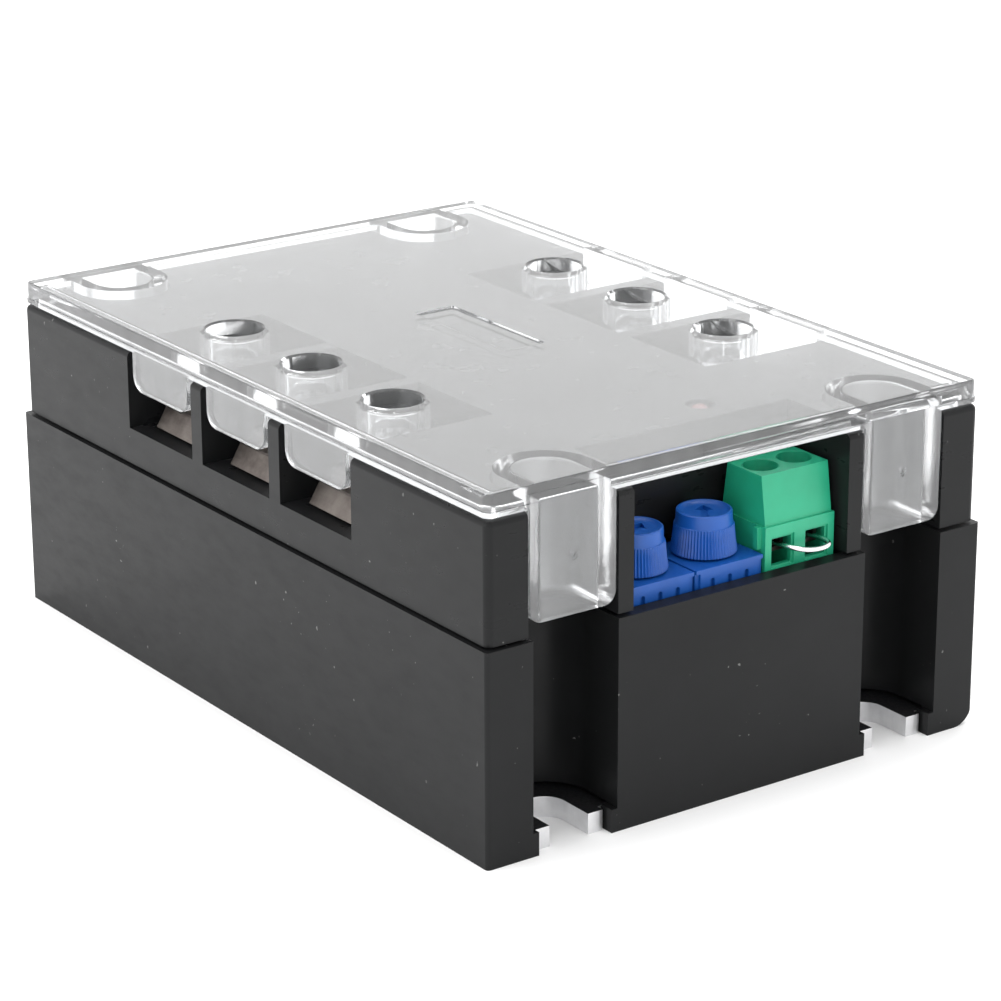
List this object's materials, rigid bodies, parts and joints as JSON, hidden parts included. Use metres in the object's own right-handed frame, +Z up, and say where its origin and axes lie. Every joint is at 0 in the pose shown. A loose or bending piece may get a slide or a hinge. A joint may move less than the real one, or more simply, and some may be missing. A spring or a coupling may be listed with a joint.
{
  "type": "solid state relay",
  "caption": "Panel-mount solid state relay: two-part black housing on a metal base plate, clear lift-off cover, screw power terminals, blue trimmer knobs and a green control terminal.",
  "frame": {"origin": "middle of the footprint, on the plane that the base plate stands on", "axes": "+Y along the length, away from the control end; +X across the width, towards the second row of power terminals; +Z up, from the base plate to the cover"},
  "size_m": [0.0726, 0.106, 0.0441],
  "materials": {
    "black_plastic": "fine matte moulded texture",
    "clear_plastic": "clear polycarbonate with a light haze",
    "plate_metal": "milled",
    "terminal_metal": "nickel plated",
    "screw_metal": "zinc plated",
    "wire_metal": "tinned copper",
    "blue_plastic": "satin moulded",
    "green_plastic": "satin moulded",
    "alumina": "matte white ceramic",
    "silicon": "polished dark chip",
    "potting_resin": "cast, glossy black",
    "circuit_board": "solder-masked laminate",
    "capacitor_sleeve": "shrink sleeve over an aluminium can",
    "indicator_lens": "clear tinted epoxy"
  },
  "bodies": {
    "root": {"base_plate": "plate_metal", "lower_housing": "black_plastic", "upper_housing": "black_plastic", "power_terminal_l1": "terminal_metal", "power_terminal_l2": "terminal_metal", "power_terminal_l3": "terminal_metal", "power_terminal_t1": "terminal_metal", "power_terminal_t2": "terminal_metal", "power_terminal_t3": "terminal_metal", "ceramic_substrate_1": "alumina", "ceramic_substrate_2": "alumina", "ceramic_substrate_3": "alumina", "thyristor_die_1": "silicon", "thyristor_die_2": "silicon", "thyristor_die_3": "silicon", "thyristor_die_4": "silicon", "thyristor_die_5": "silicon", "thyristor_die_6": "silicon", "gate_header_1": "black_plastic", "gate_header_2": "black_plastic", "gate_header_3": "black_plastic", "potting": "potting_resin", "control_board": "circuit_board", "optocoupler_1": "black_plastic", "optocoupler_2": "black_plastic", "optocoupler_3": "black_plastic", "controller_chip": "black_plastic", "supply_capacitor": "capacitor_sleeve", "status_led": "indicator_lens", "trimmer_body_1": "blue_plastic", "trimmer_body_2": "blue_plastic", "control_block": "green_plastic", "control_pin_1": "terminal_metal", "control_pin_2": "terminal_metal", "wire_link": "wire_metal"},
    "cover": {"clear_cover": "clear_plastic"},
    "knob_1": {"trimmer_knob_1": "blue_plastic"},
    "knob_2": {"trimmer_knob_2": "blue_plastic"},
    "washer_l1": {"clamp_washer_l1": "terminal_metal"},
    "screw_l1": {"terminal_screw_l1": "screw_metal"},
    "washer_l2": {"clamp_washer_l2": "terminal_metal"},
    "screw_l2": {"terminal_screw_l2": "screw_metal"},
    "washer_l3": {"clamp_washer_l3": "terminal_metal"},
    "screw_l3": {"terminal_screw_l3": "screw_metal"},
    "washer_t1": {"clamp_washer_t1": "terminal_metal"},
    "screw_t1": {"terminal_screw_t1": "screw_metal"},
    "washer_t2": {"clamp_washer_t2": "terminal_metal"},
    "screw_t2": {"terminal_screw_t2": "screw_metal"},
    "washer_t3": {"clamp_washer_t3": "terminal_metal"},
    "screw_t3": {"terminal_screw_t3": "screw_metal"},
    "clamp_1": {"control_clamp_1": "terminal_metal"},
    "pole_screw_1": {"control_screw_1": "screw_metal"},
    "clamp_2": {"control_clamp_2": "terminal_metal"},
    "pole_screw_2": {"control_screw_2": "screw_metal"}
  },
  "joints": [
    {"name": "cover_lift", "type": "slide", "parent": "root", "child": "cover", "axis": [0, 0, 1], "range_m": [0, 0.03]},
    {"name": "trimmer_1", "type": "hinge", "parent": "root", "child": "knob_1", "pos_m": [-0.0105, -0.0458, 0.0335], "axis": [0, 0, 1], "range_deg": [-140, 140]},
    {"name": "trimmer_2", "type": "hinge", "parent": "root", "child": "knob_2", "pos_m": [-0.0004, -0.0458, 0.0335], "axis": [0, 0, 1], "range_deg": [-140, 140]},
    {"name": "screw_lift_l1", "type": "slide", "parent": "root", "child": "washer_l1", "axis": [0, 0, 1], "range_m": [0, 0.0028]},
    {"name": "screw_turn_l1", "type": "hinge", "parent": "washer_l1", "child": "screw_l1", "pos_m": [-0.0247, 0.0178, 0.0384], "axis": [0, 0, 1], "range_deg": [0, 1440]},
    {"name": "screw_lift_l2", "type": "slide", "parent": "root", "child": "washer_l2", "axis": [0, 0, 1], "range_m": [0, 0.0028]},
    {"name": "screw_turn_l2", "type": "hinge", "parent": "washer_l2", "child": "screw_l2", "pos_m": [-0.0247, 0, 0.0384], "axis": [0, 0, 1], "range_deg": [0, 1440]},
    {"name": "screw_lift_l3", "type": "slide", "parent": "root", "child": "washer_l3", "axis": [0, 0, 1], "range_m": [0, 0.0028]},
    {"name": "screw_turn_l3", "type": "hinge", "parent": "washer_l3", "child": "screw_l3", "pos_m": [-0.0247, -0.0178, 0.0384], "axis": [0, 0, 1], "range_deg": [0, 1440]},
    {"name": "screw_lift_t1", "type": "slide", "parent": "root", "child": "washer_t1", "axis": [0, 0, 1], "range_m": [0, 0.0028]},
    {"name": "screw_turn_t1", "type": "hinge", "parent": "washer_t1", "child": "screw_t1", "pos_m": [0.0247, 0.0178, 0.0384], "axis": [0, 0, 1], "range_deg": [0, 1440]},
    {"name": "screw_lift_t2", "type": "slide", "parent": "root", "child": "washer_t2", "axis": [0, 0, 1], "range_m": [0, 0.0028]},
    {"name": "screw_turn_t2", "type": "hinge", "parent": "washer_t2", "child": "screw_t2", "pos_m": [0.0247, 0, 0.0384], "axis": [0, 0, 1], "range_deg": [0, 1440]},
    {"name": "screw_lift_t3", "type": "slide", "parent": "root", "child": "washer_t3", "axis": [0, 0, 1], "range_m": [0, 0.0028]},
    {"name": "screw_turn_t3", "type": "hinge", "parent": "washer_t3", "child": "screw_t3", "pos_m": [0.0247, -0.0178, 0.0384], "axis": [0, 0, 1], "range_deg": [0, 1440]},
    {"name": "clamp_slide_1", "type": "slide", "parent": "root", "child": "clamp_1", "axis": [0, 0, 1], "range_m": [-0.0015, 0]},
    {"name": "pole_screw_1", "type": "hinge", "parent": "root", "child": "pole_screw_1", "pos_m": [0.00746, -0.0463, 0.0356], "axis": [0, 0, 1], "range_deg": [0, 1080]},
    {"name": "clamp_slide_2", "type": "slide", "parent": "root", "child": "clamp_2", "axis": [0, 0, 1], "range_m": [-0.0015, 0]},
    {"name": "pole_screw_2", "type": "hinge", "parent": "root", "child": "pole_screw_2", "pos_m": [0.01254, -0.0463, 0.0356], "axis": [0, 0, 1], "range_deg": [0, 1080]}
  ],
  "couplings": [
    {"joint": "screw_turn_l1", "follows": "screw_lift_l1", "rad_per_m": 8975.9},
    {"joint": "screw_turn_l2", "follows": "screw_lift_l2", "rad_per_m": 8975.9},
    {"joint": "screw_turn_l3", "follows": "screw_lift_l3", "rad_per_m": 8975.9},
    {"joint": "screw_turn_t1", "follows": "screw_lift_t1", "rad_per_m": 8975.9},
    {"joint": "screw_turn_t2", "follows": "screw_lift_t2", "rad_per_m": 8975.9},
    {"joint": "screw_turn_t3", "follows": "screw_lift_t3", "rad_per_m": 8975.9},
    {"joint": "pole_screw_1", "follows": "clamp_slide_1", "rad_per_m": -12566},
    {"joint": "pole_screw_2", "follows": "clamp_slide_2", "rad_per_m": -12566}
  ]
}
